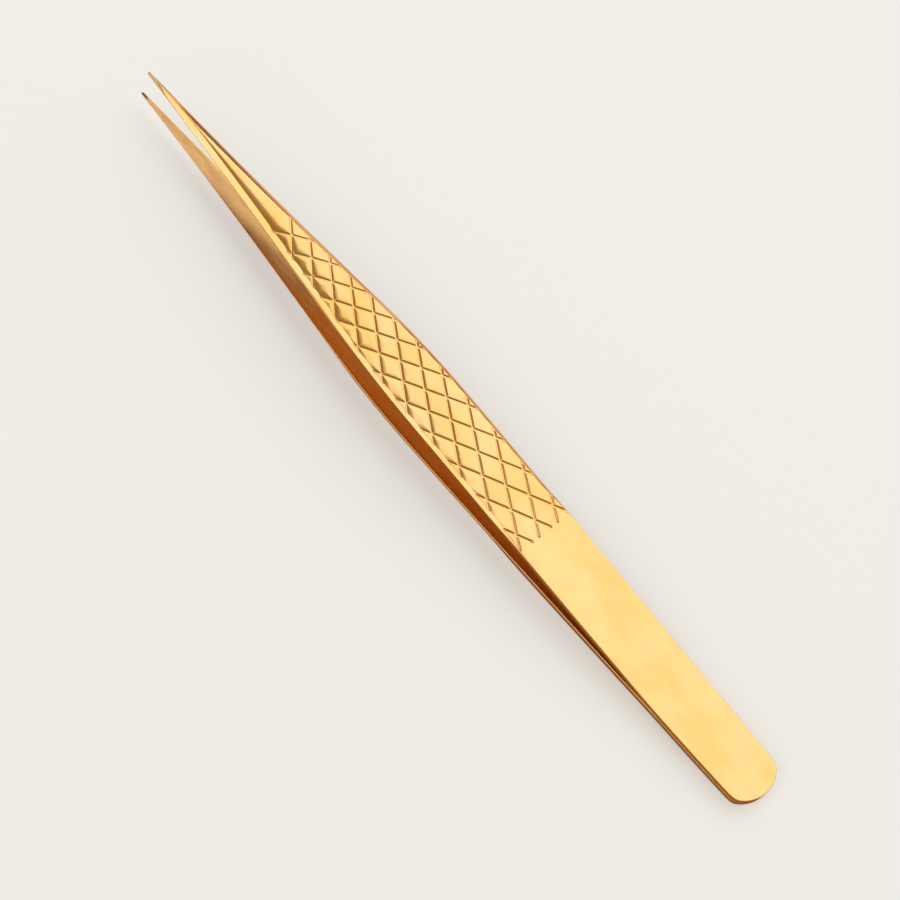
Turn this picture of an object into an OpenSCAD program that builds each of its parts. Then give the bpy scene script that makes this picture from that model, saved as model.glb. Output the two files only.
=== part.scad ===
// Stamp tongs: two springy steel arms, welded back to back at the heel, with needle
// points and a diamond grip on each outer face. They lie on their lower arm, on Z = 0,
// with the heel towards -X, the points towards +X and the opening direction near +Z.
// Sizes in millimetres.

/* [Overall] */
// Length from the heel to the points
length = 140; // [110:1:180]
// Thickness of the strip that each arm is made from
strip_t = 1.0; // [0.7:0.05:1.4]

/* [Outline] */
// Width of an arm at the heel, before its corners are rounded
heel_w = 8.5; // [6.5:0.1:11]
// Width that the edges swell towards along the shank
shank_w = 9.96; // [7.5:0.01:12]
// Width of an arm where it is widest, in the grip
grip_w = 10.06; // [7.5:0.01:12.5]
// Width of an arm across its point
point_w = 0.4; // [0.3:0.05:0.8]
// Distance from the heel to the widest place
widest_x = 73; // [55:1:88]
// Length over which the edges leave the heel
heel_ease = 12; // [6:1:18]
// Length over which the edges come level before the widest place
shank_ease = 29; // [15:1:35]
// Length over which the edges turn in after the widest place
shoulder_ease = 19; // [10:1:24]
// Length of the needle, where the edges run in to the point
needle_ease = 40; // [25:1:45]
// Slope of each edge at the point
needle_slope = 0.061; // [0.03:0.001:0.09]
// Radius of the bulged heel end
heel_end_r = 5.4; // [4.4:0.1:9]
// Radius of the heel's corners
heel_corner_r = 2.0; // [1:0.1:3]

/* [Opening] */
// Length of the heel, where the two arms lie together
heel_len = 17; // [13:0.5:24]
// Radius of the bend where an arm leaves the heel
heel_bend_r = 100; // [60:5:160]
// Angle at which each arm leaves the heel
splay = 2.95; // [2:0.05:4]
// Distance from the heel to the place where an arm starts to bend back
bow_x = 58; // [48:1:70]
// Radius of the arm's outward bow
bow_r = 600; // [400:10:800]
// Angle of each arm along its needle
needle_splay = 0.6; // [0:0.05:1.2]
// Distance from the heel to the place where an arm flexes
flex_x = 38; // [30:1:44]
// Running clearance at the flexing place
flex_gap = 0.05; // [0.03:0.01:0.08]

/* [Crown] */
// Slope of each outer face, from its middle line down to the bevels
crown_slope = 0.0225; // [0.01:0.0025:0.05]
// Distance from the heel to the start of the crown
crown_x = 44; // [40:1:48]
// Length over which the crown grows
crown_run = 18; // [10:1:20]

/* [Bevels] */
// Size of the broken edge all round an outer face
edge_break = 0.1; // [0.05:0.01:0.2]
// Distance from the heel to the start of the long bevels
bevel_x = 47; // [45:1:55]
// Length over which the bevels reach their width
bevel_run = 10; // [5:1:14]
// Width of a bevel across the face
bevel_w = 0.65; // [0.3:0.05:1]
// Depth of a bevel down the side
bevel_h = 0.54; // [0.2:0.02:0.64]
// Width of a bevel beside the needle
needle_bevel_w = 0.85; // [0.5:0.05:1.1]
// Distance from the heel to the place where the bevels deepen
deepen_x = 84; // [76:1:92]
// Length over which the bevels deepen to the inner edge
deepen_run = 14; // [8:1:20]
// Height of the side that is left below a needle's bevels
knife_h = 0.08; // [0.04:0.01:0.15]
// Thickness of an arm at its point
point_t = 0.45; // [0.3:0.05:0.7]
// Distance from the heel to the place where an arm starts to thin
thin_x = 100; // [92:1:108]

/* [Diamond grip] */
// Distance from the heel to the start of the grooves
grip_x = 49.6; // [49:0.1:54]
// Distance from the start of the grooves to their first crossing
grip_lead = 2.2; // [1.6:0.1:3]
// Length of the first diamond
diamond_l = 6.7; // [5:0.1:8]
// Share of its length that each diamond hands on to the next
diamond_shrink = 0.957; // [0.94:0.001:0.98]
// Height of a half row of diamonds at the first crossing
half_row = 1.89; // [1.4:0.01:2.4]
// Share of the row height that each diamond hands on to the next
row_shrink = 0.99; // [0.97:0.001:1]
// Number of diamonds along the middle row
diamonds = 10; // [6:1:12]
// Width of a groove
groove_w = 0.5; // [0.3:0.05:0.7]
// Depth of a groove
groove_d = 0.16; // [0.08:0.01:0.25]

/* [Spot welds] */
// Radius of a weld nugget
weld_r = 1.6; // [1:0.1:2.2]
// Thickness of a weld nugget across both arms
weld_t = 0.7; // [0.4:0.05:1.1]
// Distance from the heel to the first weld
weld_x = 5; // [4:0.1:6]
// Distance between the welds
weld_pitch = 7.5; // [5.5:0.1:9]

/* [Hidden] */
$fn = 64;
gold = [0.93, 0.72, 0.33];
dark_gold = [0.72, 0.50, 0.20];
weld_grey = [0.55, 0.53, 0.50];
eps = 0.01;

// ---- The arm in side view: its inner face, above the plane between the two arms ----
bend_end = heel_len + heel_bend_r * sin(splay);
bend_rise = heel_bend_r * (1 - cos(splay));
bow_rise = bend_rise + tan(splay) * (bow_x - bend_end);
bow_end = bow_x + bow_r * (sin(splay) - sin(needle_splay));
bow_top = bow_rise + bow_r * (cos(needle_splay) - cos(splay));

function bow_angle(x) = asin(sin(splay) - (x - bow_x) / bow_r);
function inner_z(x) =
  x <= heel_len ? 0 :
  x <= bend_end ? heel_bend_r - sqrt(pow(heel_bend_r, 2) - pow(x - heel_len, 2)) :
  x <= bow_x ? bend_rise + tan(splay) * (x - bend_end) :
  x <= bow_end ? bow_rise + bow_r * (cos(bow_angle(x)) - cos(splay)) :
  bow_top + tan(needle_splay) * (x - bow_end);

function ramp(x, x0, run) = let (u = min(1, max(0, (x - x0) / run))) u * u * (3 - 2 * u);
function thickness(x) =
  x <= thin_x ? strip_t : strip_t + (point_t - strip_t) * (x - thin_x) / (length - thin_x);
function outer_z(x) = inner_z(x) + thickness(x);

// ---- The arm in plan: half its width ----
function bezier(p, t) =
  pow(1 - t, 3) * p[0] + 3 * pow(1 - t, 2) * t * p[1] + 3 * (1 - t) * t * t * p[2]
  + pow(t, 3) * p[3];
shank_edge = [
  [0, heel_w / 2], [heel_ease, shank_w / 2],
  [widest_x - shank_ease, grip_w / 2], [widest_x, grip_w / 2]
];
needle_edge = [
  [widest_x, grip_w / 2], [widest_x + shoulder_ease, grip_w / 2],
  [length - needle_ease, point_w / 2 + needle_slope * needle_ease], [length, point_w / 2]
];
shank_steps = 26;
needle_steps = 34;
edge_points = [
  for (i = [0:shank_steps]) bezier(shank_edge, i / shank_steps),
  for (i = [1:needle_steps]) bezier(needle_edge, i / needle_steps)
];
function side_y(x) = lookup(x, edge_points);

// The heel end is an arc about [heel_end_r, 0], and each corner an arc inside that arc
// and inside the side, which is nearly straight there.
corner_y = side_y(heel_corner_r) - heel_corner_r;
corner_x = heel_end_r - sqrt(pow(heel_end_r - heel_corner_r, 2) - pow(corner_y, 2));
corner_turn = asin(corner_y / (heel_end_r - heel_corner_r));
corner_start = corner_x - heel_corner_r * cos(corner_turn);
function end_y(x) =
  x <= corner_start ? sqrt(pow(heel_end_r, 2) - pow(heel_end_r - x, 2)) :
  x <= corner_x ? corner_y + sqrt(pow(heel_corner_r, 2) - pow(corner_x - x, 2)) :
  side_y(x);
function half_w(x) = x <= corner_x ? min(end_y(x), side_y(x)) : side_y(x);

// ---- Bevels along both edges of the outer face ----
// Width of the flat that stays along the ridge of a needle
ridge_flat = 0.12;
function bevel_across(x) =
  min(half_w(x) - ridge_flat / 2,
    edge_break + (bevel_w - edge_break) * ramp(x, bevel_x, bevel_run)
    + (needle_bevel_w - bevel_w) * ramp(x, deepen_x, deepen_run));
function bevel_down(x) =
  let (grip = edge_break + (bevel_h - edge_break) * ramp(x, bevel_x, bevel_run))
  grip + (thickness(x) - knife_h - grip) * ramp(x, deepen_x, deepen_run);

// ---- Crown: how far the outer face falls from its middle to its edges ----
function crown(x) = crown_slope * (half_w(x) - bevel_across(x)) * ramp(x, crown_x, crown_run);

// ---- Strip: one arm's solid between two distances from the heel ----
end_stations = [0.02, 0.1, 0.3, 0.6, 1, 1.4, 1.8, 2.3, 3];
station_gap = 1.5;
// Edges of the crown's two facets, as shares of half the face
face_shares = [1, 0, -1];
function stations(x0, x1) = [
  x0,
  for (x = end_stations) if (x > x0 && x < x1) x,
  for (x = [4.5:station_gap:length]) if (x > x0 + eps && x < x1 - eps) x,
  x1
];
function section(x) =
  let (w = half_w(x), f = w - bevel_across(x), zi = inner_z(x), zo = outer_z(x),
       ze = zo - bevel_down(x))
  [
    [x, -w, zi], [x, w, zi], [x, w, ze],
    for (u = face_shares) [x, u * f, zo - abs(u) * crown(x)],
    [x, -w, ze]
  ];

module strip(x0, x1) {
  xs = stations(x0, x1);
  n = len(xs);
  corners = 4 + len(face_shares);
  polyhedron(
    points = [for (x = xs) each section(x)],
    faces = [
      [for (c = [0:corners - 1]) c],
      [for (c = [corners - 1:-1:0]) (n - 1) * corners + c],
      for (i = [0:n - 2], c = [0:corners - 1])
        let (d = (c + 1) % corners, a = i * corners, b = a + corners)
        each [[a + c, b + c, b + d], [a + c, b + d, a + d]]
    ]
  );
}

// ---- Diamond grip: two families of V grooves in the outer face ----
first_cross_x = grip_x + grip_lead;
shrink_sum = 1 / (1 - diamond_shrink);
function cross_x(k) = first_cross_x + diamond_l * shrink_sum * (1 - pow(diamond_shrink, k));
function cross_y(k, row) = row * half_row * pow(row_shrink, k);
// Diamonds from the first crossing back to the start of the grooves, a negative number
lead_k = ln(1 + grip_lead / (diamond_l * shrink_sum)) / ln(diamond_shrink);
// Half rows from the middle row to a groove's ends, which are past the bevels
rows_out = 2.6;
// Height of a groove's cutter above the face
over_face = 0.3;

function groove_point(n, row, side) =
  let (k = max(lead_k, n + row / 2), x = cross_x(k))
  [x, side * cross_y(k, 2 * (k - n)), outer_z(x)];

module groove(a, b) {
  d = b - a;
  top_w = groove_w * (1 + over_face / groove_d);
  translate(a) rotate([0, 0, atan2(d[1], d[0])]) rotate([0, -asin(d[2] / norm(d)), 0])
    rotate([90, 0, 90]) linear_extrude(norm(d))
      polygon([[0, -groove_d], [top_w / 2, over_face], [-top_w / 2, over_face]]);
}

module grip_grooves() {
  for (n = [-1:diamonds], side = [-1, 1])
    groove(groove_point(n, -rows_out, side), groove_point(n, rows_out, side));
}

// ---- The place where an arm flexes: a round knuckle in a round seat ----
flex_z = inner_z(flex_x) + strip_t / 2;
// A knuckle just inside both faces, so that its surface is nowhere level with them
knuckle_r = 0.46 * strip_t;
seat_back = 0.4 * strip_t;

module across(r, half_len) {
  translate([flex_x, half_len, flex_z]) rotate([90, 0, 0]) cylinder(r = r, h = 2 * half_len);
}

// ---- Spot welds ----
module weld_nugget(i) {
  translate([weld_x + i * weld_pitch, 0, -weld_t / 2]) cylinder(r = weld_r, h = weld_t);
}

// ---- Arm halves: above the plane between the arms, or mirrored below it ----
module heel_leaf() {
  difference() {
    strip(end_stations[0], flex_x - seat_back);
    across(knuckle_r + flex_gap, grip_w);
    for (i = [0, 1]) weld_nugget(i);
  }
}

module arm() {
  union() {
    difference() {
      strip(flex_x, length);
      grip_grooves();
    }
    across(knuckle_r, half_w(flex_x) - edge_break);
  }
}

module below() { mirror([0, 0, 1]) children(); }

// ---- Lying down: the tongs rest on the heel's end and on the lower arm's bow ----
lean_stations = [for (x = [bow_x:0.25:bow_end]) x];
lean = max([for (x = lean_stations) atan((outer_z(x) - strip_t) / x)]);
module laid_down() {
  translate([-length / 2, 0, strip_t]) rotate([0, -lean, 0]) children();
}

module upper_heel_leaf() { color(gold) laid_down() heel_leaf(); }
module lower_heel_leaf() { color(gold) laid_down() below() heel_leaf(); }
module rear_spot_weld() { color(weld_grey) laid_down() weld_nugget(0); }
module front_spot_weld() { color(weld_grey) laid_down() weld_nugget(1); }
module upper_arm() { color(gold) laid_down() arm(); }
module lower_arm() { color(dark_gold) laid_down() below() arm(); }

upper_heel_leaf();
lower_heel_leaf();
rear_spot_weld();
front_spot_weld();
upper_arm();
lower_arm();
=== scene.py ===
"""Looks of the stamp tongs: two polished gold arms with a diamond grip, lying on a pale floor.

Each arm is one springy strip on the real tongs, so one mesh here stands for its heel leaf and
its moving arm, shaped with a fixed bend between them. The meshes are worked out in the tongs'
own frame, in millimetres: X from the heel to the points, Z up from the plane between the two arms.
"""

import math

import bpy
import numpy as np
from mathutils import Matrix, Vector

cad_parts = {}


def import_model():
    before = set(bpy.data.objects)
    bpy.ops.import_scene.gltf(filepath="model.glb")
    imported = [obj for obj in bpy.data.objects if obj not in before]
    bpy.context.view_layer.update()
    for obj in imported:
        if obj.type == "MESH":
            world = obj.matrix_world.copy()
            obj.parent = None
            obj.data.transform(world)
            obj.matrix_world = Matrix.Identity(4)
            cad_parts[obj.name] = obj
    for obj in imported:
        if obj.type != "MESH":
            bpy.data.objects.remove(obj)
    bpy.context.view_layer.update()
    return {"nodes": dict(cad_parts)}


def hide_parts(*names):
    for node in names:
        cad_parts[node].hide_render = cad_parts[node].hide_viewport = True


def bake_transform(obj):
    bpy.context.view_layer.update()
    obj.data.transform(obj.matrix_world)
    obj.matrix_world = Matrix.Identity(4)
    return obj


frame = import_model()

MM = 0.001

# ---- The strip, as the CAD model has it ----
LENGTH = 140.0
STRIP_T = 1.0
HEEL_W, SHANK_W, GRIP_W, POINT_W = 8.5, 9.96, 10.06, 0.4
WIDEST_X = 73.0
HEEL_EASE, SHANK_EASE, SHOULDER_EASE, NEEDLE_EASE = 12.0, 29.0, 19.0, 40.0
NEEDLE_SLOPE = 0.061
HEEL_END_R, HEEL_CORNER_R = 5.4, 2.0
HEEL_LEN, HEEL_BEND_R = 17.0, 100.0
SPLAY, NEEDLE_SPLAY = math.radians(2.95), math.radians(0.6)
BOW_X, BOW_R = 58.0, 600.0
BEVEL_X, BEVEL_RUN, BEVEL_W, BEVEL_H = 47.0, 10.0, 0.65, 0.54
NEEDLE_BEVEL_W, DEEPEN_X, DEEPEN_RUN = 0.85, 84.0, 14.0
KNIFE_H, POINT_T, THIN_X = 0.08, 0.45, 100.0
EDGE_BREAK, RIDGE_FLAT = 0.1, 0.12
GRIP_X, GRIP_LEAD = 49.6, 2.2
DIAMOND_L, DIAMOND_SHRINK = 6.7, 0.957
HALF_ROW, ROW_SHRINK = 1.89, 0.99
DIAMONDS = 10
GROOVE_W, GROOVE_D = 0.5, 0.16
ROWS_OUT = 2.6

# ---- What the looks add to it ----
FACE_COLUMNS = 104
INNER_COLUMNS = 20
EDGE_LINE = 0.03          # softened line along each sharp edge
INNER_ROUND = 0.12        # radius along the inner edges
SEAM = 0.004              # hairline between each strip and the middle plane at the heel
SEAM_RUN = 1.0            # length over which that hairline closes
GROOVE_FLOOR = 0.44       # share of a groove's width that is level
PILLOW_H, PILLOW_RUN = 0.03, 0.8      # how far the face dips beside a groove, and how far out
NICK = 0.3                # share of a bevel that a groove cuts into
BEVEL_FLATNESS = 0.82     # 1 is a level bevel, 0 a quarter round
CROWN_SLOPE, CROWN_X, CROWN_RUN = 0.05, 44, 20        # slope at the face's edge, along the grip
NEEDLE_CROWN_SLOPE, NEEDLE_CROWN_RUN = 0.11, 26       # what the needle adds, from DEEPEN_X on
CROWN_POWER, CROWN_POWER_RUN = 3, 30                  # falls by 1 along the needle
FIRST_X, LAST_X = 0.004, LENGTH - 0.012
POINT_ROUND = 0.35        # length over which a point rounds off
POINT_SHARE = 0.97        # how nearly it closes
POINT_MIDDLE = 0.4        # share of the thickness at which it closes
# Distances of the sections: from the heel's end, and back from the point
HEEL_END_SECTIONS = np.array([0, 0.012, 0.03, 0.055, 0.085, 0.12, 0.17, 0.24, 0.34, 0.48, 0.66, 0.88,
                              1.1, 1.3, 1.5, 1.7, 1.9, 2.1, 2.35, 2.7, 3.2, 3.8, 4.5])
POINT_SECTIONS = np.array([0.5, 0.42, 0.34, 0.27, 0.2, 0.14, 0.09, 0.05])
SHANK_START, SHANK_GAP = 5.2, 0.6
GRIP_GAP, GRIP_END = 0.085, 110.5     # close enough together to draw the grooves
NEEDLE_START, NEEDLE_GAP = 110.8, 0.3
# Columns round a section, as shares of the bevel, of the side and of the inner edge's turn
BEVEL_SHARES = np.array([0.05, 0.15, 0.3, 0.45, 0.6, 0.75, 0.87, 0.95, 1.0])
SIDE_SHARES = np.array([0, 0.5, 1.0])
INNER_TURNS = np.radians([25, 50, 75, 90])


def ramp(x, x0, run):
    u = np.clip((x - x0) / run, 0, 1)
    return u * u * (3 - 2 * u)


# ---- Side view ----
BEND_END = HEEL_LEN + HEEL_BEND_R * math.sin(SPLAY)
BEND_RISE = HEEL_BEND_R * (1 - math.cos(SPLAY))
BOW_RISE = BEND_RISE + math.tan(SPLAY) * (BOW_X - BEND_END)
BOW_END = BOW_X + BOW_R * (math.sin(SPLAY) - math.sin(NEEDLE_SPLAY))
BOW_TOP = BOW_RISE + BOW_R * (math.cos(NEEDLE_SPLAY) - math.cos(SPLAY))


def inner_z(x):
    bend = HEEL_BEND_R - np.sqrt(HEEL_BEND_R**2 - np.clip(x - HEEL_LEN, 0, HEEL_BEND_R)**2)
    sine = np.clip(math.sin(SPLAY) - (x - BOW_X) / BOW_R, -1, 1)
    bow = BOW_RISE + BOW_R * (np.sqrt(1 - sine**2) - math.cos(SPLAY))
    return np.select(
        [x <= HEEL_LEN, x <= BEND_END, x <= BOW_X, x <= BOW_END],
        [0 * x, bend, BEND_RISE + math.tan(SPLAY) * (x - BEND_END), bow],
        BOW_TOP + math.tan(NEEDLE_SPLAY) * (x - BOW_END))


def thickness(x):
    return STRIP_T + (POINT_T - STRIP_T) * np.clip((x - THIN_X) / (LENGTH - THIN_X), 0, 1)


def outer_z(x):
    return inner_z(x) + thickness(x)


# ---- Plan view ----
def bezier(points, count):
    t = np.linspace(0, 1, count)[:, None]
    p = np.array(points)
    return (1 - t)**3 * p[0] + 3 * (1 - t)**2 * t * p[1] + 3 * (1 - t) * t * t * p[2] + t**3 * p[3]


EDGE = np.concatenate([
    bezier([[0, HEEL_W / 2], [HEEL_EASE, SHANK_W / 2],
            [WIDEST_X - SHANK_EASE, GRIP_W / 2], [WIDEST_X, GRIP_W / 2]], 200),
    bezier([[WIDEST_X, GRIP_W / 2], [WIDEST_X + SHOULDER_EASE, GRIP_W / 2],
            [LENGTH - NEEDLE_EASE, POINT_W / 2 + NEEDLE_SLOPE * NEEDLE_EASE],
            [LENGTH, POINT_W / 2]], 200)[1:]])


def side_y(x):
    return np.interp(x, EDGE[:, 0], EDGE[:, 1])


CORNER_Y = float(side_y(HEEL_CORNER_R)) - HEEL_CORNER_R
CORNER_X = HEEL_END_R - math.sqrt((HEEL_END_R - HEEL_CORNER_R)**2 - CORNER_Y**2)
CORNER_TURN = math.asin(CORNER_Y / (HEEL_END_R - HEEL_CORNER_R))


def half_w(x, inset=0.0):
    """Half the width of the outline, drawn in by inset."""
    end_r, corner_r = HEEL_END_R - inset, HEEL_CORNER_R - inset
    arc = np.sqrt(np.clip(end_r**2 - (HEEL_END_R - x)**2, 0, None))
    corner = CORNER_Y + np.sqrt(np.clip(corner_r**2 - (CORNER_X - x)**2, 0, None))
    in_arc = x <= CORNER_X - corner_r * math.cos(CORNER_TURN)
    side = side_y(x) - inset
    return np.where(x <= CORNER_X, np.minimum(np.where(in_arc, arc, corner), side), side)


def edge_distance(x, y):
    """How far a place on the heel is from the outline."""
    y = np.abs(y)
    arc = HEEL_END_R - np.hypot(HEEL_END_R - x, y)
    corner = HEEL_CORNER_R - np.hypot(CORNER_X - x, y - CORNER_Y)
    at_arc = np.arctan2(y, HEEL_END_R - x) <= CORNER_TURN
    at_corner = (x < CORNER_X) & (y > CORNER_Y)
    far = np.where(x < CORNER_X, 1.0, side_y(x) - y)
    return np.where(at_arc & (x < CORNER_X), arc, np.where(at_corner, corner, far))


# ---- Bevels and grip ----
def bevel_across(x):
    wide = BEVEL_W - EDGE_BREAK
    across = EDGE_BREAK + wide * ramp(x, BEVEL_X, BEVEL_RUN)
    across += (NEEDLE_BEVEL_W - BEVEL_W) * ramp(x, DEEPEN_X, DEEPEN_RUN)
    across = np.minimum(half_w(x) - RIDGE_FLAT / 2, across)
    return np.where(x < BEVEL_X, half_w(x) - half_w(x, EDGE_BREAK), across)


def bevel_down(x):
    grip = EDGE_BREAK + (BEVEL_H - EDGE_BREAK) * ramp(x, BEVEL_X, BEVEL_RUN)
    return grip + (thickness(x) - KNIFE_H - grip) * ramp(x, DEEPEN_X, DEEPEN_RUN)


SHRINK_SUM = 1 / (1 - DIAMOND_SHRINK)
LEAD_K = math.log(1 + GRIP_LEAD / (DIAMOND_L * SHRINK_SUM)) / math.log(DIAMOND_SHRINK)


def cross(n, row, side):
    k = max(LEAD_K, n + row / 2)
    x = GRIP_X + GRIP_LEAD + DIAMOND_L * SHRINK_SUM * (1 - DIAMOND_SHRINK**k)
    return np.array([x, side * 2 * (k - n) * HALF_ROW * ROW_SHRINK**k])


def groove_distance(x, y):
    """How far each place is from the middle of the nearest groove."""
    nearest = np.full(x.shape, 9.0)
    for n in range(-1, DIAMONDS + 1):
        for side in (-1, 1):
            a, b = cross(n, -ROWS_OUT, side), cross(n, ROWS_OUT, side)
            d = b - a
            t = np.clip(((x - a[0]) * d[0] + (y - a[1]) * d[1]) / (d @ d), 0, 1)
            nearest = np.minimum(nearest, np.hypot(x - a[0] - t * d[0], y - a[1] - t * d[1]))
    return nearest


def groove_depth(distance):
    wall = (GROOVE_W / 2 - distance) / ((1 - GROOVE_FLOOR) * GROOVE_W / 2)
    return GROOVE_D * np.clip(wall, 0, 1)


def crown(x, across):
    """How far the face falls away from its middle: polishing rounds it towards the points."""
    needle_slope = NEEDLE_CROWN_SLOPE * ramp(x, DEEPEN_X, NEEDLE_CROWN_RUN)
    edge_slope = CROWN_SLOPE * ramp(x, CROWN_X, CROWN_RUN) + needle_slope
    power = CROWN_POWER - ramp(x, DEEPEN_X, CROWN_POWER_RUN)
    width = half_w(x) - bevel_across(x)
    return edge_slope * width / power * np.abs(across)**power


# ---- Mesh of one arm ----
OUTER, SIDE, INNER = 0, 1, 2      # an arm's material slots


def stations():
    """Distances from the heel of every section."""
    end = FIRST_X + HEEL_END_SECTIONS
    shank = np.arange(SHANK_START, GRIP_X - 1.5, SHANK_GAP)
    grip = np.arange(GRIP_X - 1.0, GRIP_END, GRIP_GAP)
    needle = np.arange(NEEDLE_START, LENGTH - 0.6, NEEDLE_GAP)
    return np.concatenate([end, shank, grip, needle, LENGTH - POINT_SECTIONS, [LAST_X]])


def half_section(x):
    """The points of every section from the middle of the face round to the middle of the inner
    face, as two arrays, with the number of columns on the face, bevel, side and inner face."""
    w, b, zi, zo = half_w(x), bevel_across(x), inner_z(x), outer_z(x)
    face_w, down = w - b, bevel_down(x)
    x = x[:, None]
    line = np.minimum(EDGE_LINE / np.maximum(face_w, EDGE_LINE), 0.3)
    count = FACE_COLUMNS // 2
    u = np.linspace(0, 1, count + 1)[None, :-1] * (1 - line[:, None])
    u = np.concatenate([u, 1 - line[:, None], np.ones((len(w), 1))], axis=1)
    y = u * face_w[:, None]
    z = zo[:, None] - crown(x, u) + 0 * y
    t = BEVEL_SHARES[None, :]
    yb = face_w[:, None] + b[:, None] * t
    sharp = BEVEL_FLATNESS * ramp(x, BEVEL_X, BEVEL_RUN)
    fall = (1 - sharp) * (1 - np.sqrt(1 - t * t)) + sharp * t
    edge_drop = crown(x, np.ones_like(x))
    zb = zo[:, None] - edge_drop - (down[:, None] - edge_drop) * fall
    y, z = np.concatenate([y, yb], axis=1), np.concatenate([z, zb], axis=1)
    # the heel's round end, where the broken edge follows the outline
    gone = np.clip(1 - edge_distance(x, y) / EDGE_BREAK, 0, 1)
    broken = zo[:, None] - EDGE_BREAK * (1 - np.sqrt(1 - gone**2))
    z = np.where(x < CORNER_X + 1, broken, z)
    # grooves, which also nick the bevels
    distance = groove_distance(x + 0 * y, y)
    near = np.clip(1 - (distance - GROOVE_W / 2) / PILLOW_RUN, 0, 1)
    on_face = y <= face_w[:, None]
    out = np.clip((y - face_w[:, None]) / (NICK * BEVEL_W), 0, 1)
    cut = groove_depth(distance) * (1 - out)
    z = np.where(on_face, z - np.maximum(PILLOW_H * near**2, cut),
                 np.minimum(z, zo[:, None] - edge_drop - cut))
    # side, inner edge and inner face
    bottom = zi + SEAM * (1 - ramp(x[:, 0], HEEL_LEN, SEAM_RUN))
    r = np.minimum(INNER_ROUND, np.minimum(w * 0.35, (thickness(x[:, 0]) - down) * 0.5))
    top = z[:, -1] - np.minimum(EDGE_LINE, (thickness(x[:, 0]) - down) * 0.2)
    s = SIDE_SHARES[None, :]
    ys = w[:, None] + 0 * s
    zs = top[:, None] + (bottom + r - top)[:, None] * s
    turn = INNER_TURNS[None, :]
    yr = w[:, None] - r[:, None] * (1 - np.cos(turn))
    zr = (bottom + r)[:, None] - r[:, None] * np.sin(turn)
    v = np.linspace(1, 0, INNER_COLUMNS // 2 + 1)[None, 1:]
    yi = (w - r)[:, None] * v
    zl = bottom[:, None] + 0 * v
    counts = (u.shape[1], t.shape[1], s.shape[1] + turn.shape[1], v.shape[1])
    return (np.concatenate([y, ys, yr, yi], axis=1),
            np.concatenate([z, zs, zr, zl], axis=1), counts)


def arm_mesh(name, above):
    """One whole arm, from the heel to its point: above the plane between the arms or below it."""
    x = stations()
    y, z, (face, bevel, side, inner) = half_section(x)
    # towards its end each point rounds off to its middle
    u = np.clip((x - (LENGTH - POINT_ROUND)) / POINT_ROUND, 0, 1)
    share = np.sqrt(1 - (POINT_SHARE * u)**2)[:, None]
    middle = (inner_z(x) + thickness(x) * POINT_MIDDLE)[:, None]
    y, z = y * share, middle + (z - middle) * share
    # whole section: the +Y half from the middle of the face on, then the -Y half back
    half = y.shape[1]
    back = np.arange(half - 2, 0, -1)
    y = np.concatenate([y, -y[:, back]], axis=1)
    z = np.concatenate([z, z[:, back]], axis=1)
    n, m = y.shape
    points = np.stack([np.repeat(x, m), y.ravel(), z.ravel()], axis=1)
    if not above:
        points[:, 2] *= -1
    i, j = np.meshgrid(np.arange(n - 1), np.arange(m), indexing="ij")
    i, j = i.ravel(), j.ravel()
    k = (j + 1) % m
    quads = np.stack([i * m + j, i * m + k, (i + 1) * m + k, (i + 1) * m + j], axis=1)
    if above:
        quads = quads[:, ::-1]
    mesh = bpy.data.meshes.new(name)
    caps = [list(range(m)), list(range((n - 1) * m, n * m))]
    if above:
        caps[0] = caps[0][::-1]
    else:
        caps[1] = caps[1][::-1]
    laid = (LAID_DOWN @ np.concatenate([points, np.ones((len(points), 1))], axis=1).T).T[:, :3]
    mesh.from_pydata(laid * MM, [], [q.tolist() for q in quads] + caps)
    # the material of each face: the outer face and bevels, the sides and ends, or the inner face
    column = np.minimum(j, m - 1 - j)
    kind = np.select([column < face + bevel, column < face + bevel + side], [OUTER, SIDE], INNER)
    kind = np.concatenate([kind, [SIDE, SIDE]]).astype(np.int32)
    mesh.polygons.foreach_set("material_index", kind)
    mesh.polygons.foreach_set("use_smooth", np.ones(len(kind), bool))
    uv = mesh.uv_layers.new(name="strip")
    corners = np.zeros(len(mesh.loops), np.int32)
    mesh.loops.foreach_get("vertex_index", corners)
    flat = np.stack([points[corners, 0] / LENGTH, points[corners, 1] / LENGTH + 0.5], axis=1)
    uv.data.foreach_set("uv", flat.astype(np.float32).ravel())
    mesh.update()
    return mesh


# The tongs lie on their heel's end and on the lower arm's bow, leaning by this much.
BOW_STATIONS = np.arange(BOW_X, BOW_END, 0.25)
LEAN = float(np.max(np.arctan((outer_z(BOW_STATIONS) - STRIP_T) / BOW_STATIONS)))
TURNED = Matrix.Rotation(-LEAN, 4, "Y")
LAID_DOWN = np.array(Matrix.Translation((-LENGTH / 2, 0, STRIP_T)) @ TURNED)


# ---- Materials ----
MIX_A, MIX_B, MIX_RESULT = 6, 7, 2      # a Mix node's sockets for colours
GRAIN_HEIGHT = 0.00005                  # metres that a full bump stands for
NEEDLE_TONE = (0.66, 0.84)              # shares of the length where the inner face turns streaky
WORN_TIP = (0.9886, 0.9925)             # and where it turns dark


def nodes_of(name):
    material = bpy.data.materials.new(name)
    material.use_nodes = True
    tree = material.node_tree
    shader = tree.nodes["Principled BSDF"]
    shader.inputs["Metallic"].default_value = 1.0
    return material, tree, shader


def strip_coords(tree, scale):
    """The strip's own coordinates: scale is cells per millimetre along and across it."""
    uv = tree.nodes.new("ShaderNodeUVMap")
    uv.uv_map = "strip"
    mapping = tree.nodes.new("ShaderNodeMapping")
    mapping.inputs["Scale"].default_value = (scale[0] * LENGTH, scale[1] * LENGTH, 1)
    tree.links.new(uv.outputs["UV"], mapping.inputs["Vector"])
    return mapping.outputs["Vector"]


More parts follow.
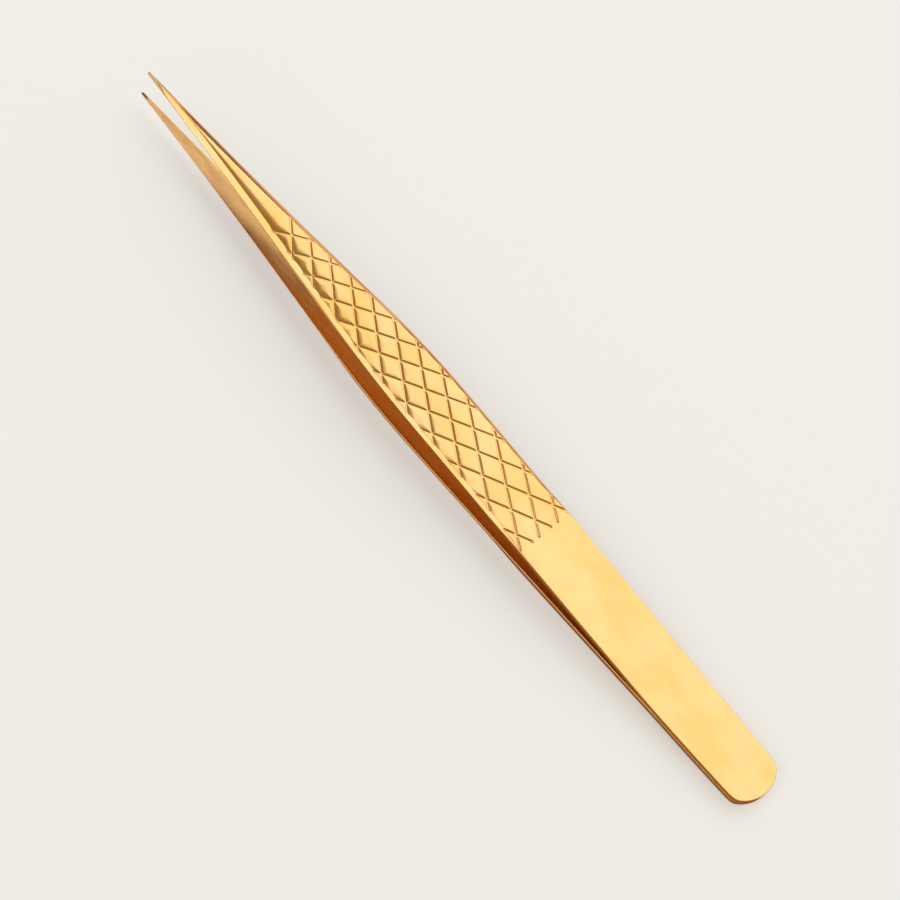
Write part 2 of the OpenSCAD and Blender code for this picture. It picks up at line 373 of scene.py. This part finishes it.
def noise(tree, scale, detail=2.0, roughness=0.5):
    n = tree.nodes.new("ShaderNodeTexNoise")
    n.inputs["Scale"].default_value = 1.0
    n.inputs["Detail"].default_value = detail
    n.inputs["Roughness"].default_value = roughness
    tree.links.new(strip_coords(tree, scale), n.inputs["Vector"])
    return n.outputs["Fac"]


def span(tree, value, low, high, to_low, to_high):
    r = tree.nodes.new("ShaderNodeMapRange")
    r.inputs["From Min"].default_value = low
    r.inputs["From Max"].default_value = high
    r.inputs["To Min"].default_value = to_low
    r.inputs["To Max"].default_value = to_high
    tree.links.new(value, r.inputs["Value"])
    return r.outputs["Result"]


def fade(tree, value, edge):
    """0 up to one end of edge and 1 from its other end on."""
    return span(tree, value, *edge, 0, 1)


def mix(tree, factor, a, b):
    m = tree.nodes.new("ShaderNodeMix")
    m.data_type = "RGBA"
    tree.links.new(factor, m.inputs["Factor"])
    for socket, value in ((m.inputs[MIX_A], a), (m.inputs[MIX_B], b)):
        if isinstance(value, tuple):
            socket.default_value = (*value, 1)
        else:
            tree.links.new(value, socket)
    return m.outputs[MIX_RESULT]


def bump(tree, shader, height, strength):
    b = tree.nodes.new("ShaderNodeBump")
    b.inputs["Strength"].default_value = strength
    b.inputs["Distance"].default_value = GRAIN_HEIGHT
    tree.links.new(height, b.inputs["Height"])
    tree.links.new(b.outputs["Normal"], shader.inputs["Normal"])


GOLD = (0.98, 0.64, 0.30)
DEEP_GOLD = (0.96, 0.56, 0.19)
SATIN_GOLD = (0.88, 0.56, 0.26)
TAN_GOLD = (0.66, 0.40, 0.19)
WARM_GOLD = (0.90, 0.55, 0.20)
WORN_STEEL = (0.14, 0.12, 0.13)
WELD_LIGHT, WELD_DARK = (0.50, 0.48, 0.46), (0.36, 0.33, 0.31)


def polished_gold():
    material, tree, shader = nodes_of("polished_gold")
    blotch = noise(tree, (0.10, 0.16), 3)
    tone = span(tree, blotch, 0.35, 0.7, 0, 1)
    tree.links.new(mix(tree, tone, GOLD, DEEP_GOLD), shader.inputs["Base Color"])
    rough = span(tree, noise(tree, (0.35, 1.2), 4, 0.6), 0.3, 0.7, 0.13, 0.21)
    tree.links.new(rough, shader.inputs["Roughness"])
    bump(tree, shader, noise(tree, (0.7, 9.0), 3, 0.6), 0.06)
    return material


def edge_gold():
    material, tree, shader = nodes_of("edge_gold")
    tone = span(tree, noise(tree, (0.25, 0.5), 3), 0.3, 0.7, 0, 1)
    tree.links.new(mix(tree, tone, DEEP_GOLD, GOLD), shader.inputs["Base Color"])
    rough = span(tree, noise(tree, (1.2, 1.2), 4, 0.6), 0.3, 0.7, 0.2, 0.32)
    tree.links.new(rough, shader.inputs["Roughness"])
    bump(tree, shader, noise(tree, (3.0, 14.0), 3, 0.6), 0.1)
    return material


def satin_gold():
    material, tree, shader = nodes_of("satin_gold")
    streak = noise(tree, (0.16, 0.8), 4, 0.65)
    tone = span(tree, streak, 0.38, 0.62, 0, 1)
    uv = tree.nodes.new("ShaderNodeUVMap")
    uv.uv_map = "strip"
    split = tree.nodes.new("ShaderNodeSeparateXYZ")
    tree.links.new(uv.outputs["UV"], split.inputs["Vector"])
    needle = fade(tree, split.outputs["X"], NEEDLE_TONE)
    gold = mix(tree, needle, WARM_GOLD, mix(tree, tone, TAN_GOLD, SATIN_GOLD))
    worn = fade(tree, split.outputs["X"], WORN_TIP)
    tree.links.new(mix(tree, worn, gold, WORN_STEEL), shader.inputs["Base Color"])
    rough = span(tree, noise(tree, (0.12, 1.4), 4, 0.65), 0.3, 0.7, 0.24, 0.44)
    tree.links.new(rough, shader.inputs["Roughness"])
    bump(tree, shader, noise(tree, (0.5, 7.0), 4, 0.65), 0.15)
    return material


def weld_steel():
    material, tree, shader = nodes_of("weld_steel")
    tone = span(tree, noise(tree, (1.5, 1.5), 4), 0.3, 0.7, 0, 1)
    tree.links.new(mix(tree, tone, WELD_LIGHT, WELD_DARK), shader.inputs["Base Color"])
    tree.links.new(span(tree, tone, 0, 1, 0.35, 0.55), shader.inputs["Roughness"])
    return material


# ---- Pieces ----
def add_arm(name, above, leaf, arm, materials):
    """One springy strip, put in place of a fixed heel leaf and a moving arm, which it hides."""
    mesh = arm_mesh(name, above)
    for m in materials:
        mesh.materials.append(m)
    piece = bpy.data.objects.new(name, mesh)
    bpy.context.scene.collection.objects.link(piece)
    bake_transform(piece)
    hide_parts(leaf, arm)
    return piece


golds = [polished_gold(), edge_gold(), satin_gold()]
add_arm("upper_arm_strip", True, "upper_heel_leaf", "upper_arm", golds)
add_arm("lower_arm_strip", False, "lower_heel_leaf", "lower_arm", golds)
steel = weld_steel()
for node in ("rear_spot_weld", "front_spot_weld"):
    frame["nodes"][node].data.materials.clear()
    frame["nodes"][node].data.materials.append(steel)


# ---- Studio: floor, lights, camera ----
FLOOR_SIZE = 30
FLOOR_PAINT, FLOOR_GLOW, FLOOR_GLOW_POWER = (0.80, 0.82, 0.86), (0.90, 0.95, 1), 0.38


def floor():
    bpy.ops.mesh.primitive_plane_add(size=FLOOR_SIZE, location=(0, 0, 0))
    plane = bpy.context.object
    plane.name = "floor"
    material = bpy.data.materials.new("floor_paint")
    material.use_nodes = True
    shader = material.node_tree.nodes["Principled BSDF"]
    shader.inputs["Base Color"].default_value = (*FLOOR_PAINT, 1)
    shader.inputs["Roughness"].default_value = 0.9
    shader.inputs["Emission Color"].default_value = (*FLOOR_GLOW, 1)
    shader.inputs["Emission Strength"].default_value = FLOOR_GLOW_POWER
    plane.data.materials.append(material)
    plane.visible_glossy = False


def softbox(name, direction, size, power, turn=0.0):
    """A soft light that faces the tongs from a direction, turned about it by so many degrees."""
    light = bpy.data.lights.new(name, "AREA")
    light.shape = "RECTANGLE"
    light.size, light.size_y = size
    light.energy = power
    lamp = bpy.data.objects.new(name, light)
    bpy.context.scene.collection.objects.link(lamp)
    away = Vector(direction).normalized()
    lamp.location = away * LIGHT_DISTANCE
    facing = away.to_track_quat("Z", "Y").to_matrix() @ Matrix.Rotation(math.radians(turn), 3, "Z")
    lamp.rotation_euler = facing.to_euler()


LIGHT_DISTANCE = 1.2
KEY_FROM, KEY_TURN = (0.08, -0.64, 0.77), -28
FILL_FROM = (0.15, 0.743, 0.669)

# What the gold reflects: the world's colour by height, from straight down at 0 to straight up
# at 1, and cards over it. Each card's edges are directions' X, Y or Z, where it fades in.
DOWN, UP = (0.26, 0.14, 0.06), (0.30, 0.23, 0.10)
BETWEEN = ((0.22, (0.18, 0.10, 0.04)), (0.40, (0.40, 0.26, 0.16)), (0.49, (0.72, 0.66, 0.58)),
           (0.55, (0.75, 0.72, 0.66)), (0.64, (0.42, 0.35, 0.22)), (0.76, (0.28, 0.22, 0.11)))
WALL, WALL_FOOT, WALL_TOP, WALL_SIDE = (1.0, 0.92, 0.78), (0.02, 0.1), (0.45, 0.6), (-0.35, -0.6)
DARK_WALL, FAR_CARD = (0.20, 0.11, 0.05), (0.95, 0.68, 0.53)
FAR_TOP, FAR_END, FAR_SIDE = (0.02, -0.12), (0.0, 0.12), (-0.86, -0.96)
NEAR_CARD, NEAR_TOP, NEAR_SIDE = (0.85, 0.62, 0.45), (-0.1, -0.2), (0.72, 0.82)


def world():
    w = bpy.data.worlds.new("studio")
    bpy.context.scene.world = w
    w.use_nodes = True
    tree = w.node_tree
    back = tree.nodes["Background"]
    coords = tree.nodes.new("ShaderNodeTexCoord")
    split = tree.nodes.new("ShaderNodeSeparateXYZ")
    tree.links.new(coords.outputs["Generated"], split.inputs["Vector"])
    height = tree.nodes.new("ShaderNodeMapRange")
    height.inputs["From Min"].default_value = -1
    height.inputs["From Max"].default_value = 1
    tree.links.new(split.outputs["Z"], height.inputs["Value"])
    shade = tree.nodes.new("ShaderNodeValToRGB")
    tree.links.new(height.outputs["Result"], shade.inputs["Fac"])
    stops = shade.color_ramp
    stops.elements[0].position, stops.elements[1].position = 0.0, 1.0
    stops.elements[0].color, stops.elements[1].color = (*DOWN, 1), (*UP, 1)
    for place, colour in BETWEEN:
        stops.elements.new(place).color = (*colour, 1)
    sky, across, along, up = (shade.outputs["Color"], split.outputs["Y"],
                              split.outputs["X"], split.outputs["Z"])
    # a bright wall below the key light, for views from the other side
    wall = mix(tree, fade(tree, up, WALL_FOOT), sky, WALL)
    wall = mix(tree, fade(tree, up, WALL_TOP), wall, sky)
    lit = mix(tree, fade(tree, across, WALL_SIDE), sky, wall)
    # a darker stretch of it with a pale card below, which only the -Y bevels face
    card = mix(tree, fade(tree, up, FAR_TOP), DARK_WALL, FAR_CARD)
    card = mix(tree, fade(tree, along, FAR_END), lit, card)
    far = mix(tree, fade(tree, across, FAR_SIDE), lit, card)
    # and a low card in front, for the rounded edges and the sides of the points
    card = mix(tree, fade(tree, up, NEAR_TOP), far, NEAR_CARD)
    near = mix(tree, fade(tree, across, NEAR_SIDE), far, card)
    tree.links.new(near, back.inputs["Color"])
    back.inputs["Strength"].default_value = 1.0


CAMERA_PLACE = (-0.07935, 0.20066, 0.46590)
CAMERA_AIM = (-0.00228, 0.00219, 0.00450)
CAMERA_ROLL = 28.833
CAMERA_LENS = 138.61


def camera():
    cam = bpy.data.cameras.new("camera")
    cam.sensor_width = 36
    cam.lens = CAMERA_LENS
    holder = bpy.data.objects.new("camera", cam)
    bpy.context.scene.collection.objects.link(holder)
    place, aim = Vector(CAMERA_PLACE), Vector(CAMERA_AIM)
    level = (place - aim).to_track_quat("Z", "Y").to_matrix()
    holder.location = place
    holder.rotation_euler = (level @ Matrix.Rotation(math.radians(CAMERA_ROLL), 3, "Z")).to_euler()
    bpy.context.scene.camera = holder


floor()
world()
softbox("key", KEY_FROM, (1.5, 1.0), 4.7, KEY_TURN)
softbox("fill", FILL_FROM, (0.9, 0.87), 2.6)
camera()
bpy.context.scene.view_settings.view_transform = "Standard"
